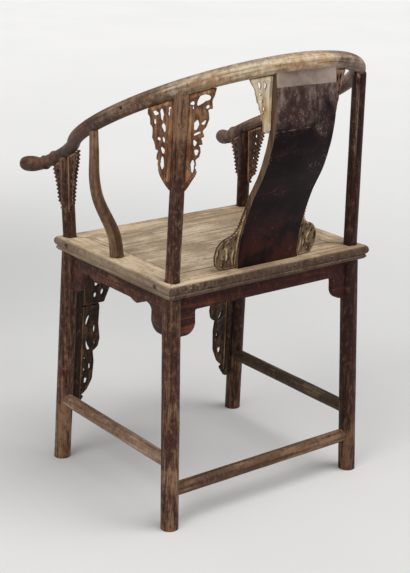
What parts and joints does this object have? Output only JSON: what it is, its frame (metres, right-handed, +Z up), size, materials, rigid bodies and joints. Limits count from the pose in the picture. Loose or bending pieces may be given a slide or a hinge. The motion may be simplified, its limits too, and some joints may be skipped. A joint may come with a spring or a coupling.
{
  "type": "horseshoe back armchair",
  "caption": "Traditional armchair with a horseshoe crest rail, an S-curved splat, carved brackets and a framed panel seat.",
  "frame": {"origin": "on the floor under the middle of the chair's outline", "axes": "+Z up; the front of the chair faces -Y; +X is the sitter's left"},
  "size_m": [0.6254, 0.6062, 0.9484],
  "materials": {
    "rail_wood": "worn lacquer over brown hardwood",
    "pin_wood": "dark hardwood",
    "splat_lacquer": "very dark worn lacquer",
    "seat_wood": "worn grey-beige hardwood",
    "batten_wood": "plain hardwood",
    "tan_carving": "worn orange-brown hardwood",
    "dark_carving": "dark brown lacquer",
    "apron_wood": "dark red-brown lacquer",
    "front_carving": "near-black brown lacquer",
    "stretcher_wood": "worn grey-brown hardwood",
    "post_wood": "worn reddish-brown lacquer"
  },
  "bodies": {
    "root": {"apron_left": "apron_wood", "apron_rear": "apron_wood", "apron_right": "apron_wood", "crest_rail_arm_left": "rail_wood", "crest_rail_arm_right": "rail_wood", "crest_rail_back": "rail_wood", "crest_rail_shoulder_left": "rail_wood", "crest_rail_shoulder_right": "rail_wood", "front_batten_left": "front_carving", "front_batten_right": "front_carving", "front_bracket_arm_side_left": "dark_carving", "front_bracket_arm_side_right": "dark_carving", "front_bracket_grip_side_left": "dark_carving", "front_bracket_grip_side_right": "dark_carving", "front_leg_left": "post_wood", "front_leg_right": "post_wood", "front_side_panel_left": "front_carving", "front_side_panel_right": "front_carving", "front_top_panel": "front_carving", "rail_scarf_pins": "pin_wood", "rear_bracket_arm_side_left": "tan_carving", "rear_bracket_arm_side_right": "tan_carving", "rear_bracket_back_side_left": "tan_carving", "rear_bracket_back_side_right": "tan_carving", "rear_leg_left": "post_wood", "rear_leg_right": "post_wood", "seat_batten_left": "batten_wood", "seat_batten_right": "batten_wood", "seat_frame_front": "seat_wood", "seat_frame_rear": "seat_wood", "seat_frame_side_left": "seat_wood", "seat_frame_side_right": "seat_wood", "seat_panel": "seat_wood", "side_post_left": "post_wood", "side_post_right": "post_wood", "splat": "splat_lacquer", "splat_foot_bracket_left": "tan_carving", "splat_foot_bracket_right": "tan_carving", "splat_wing_left": "tan_carving", "splat_wing_right": "tan_carving", "stretcher_left": "stretcher_wood", "stretcher_rear": "stretcher_wood", "stretcher_right": "stretcher_wood"}
  },
  "joints": []
}
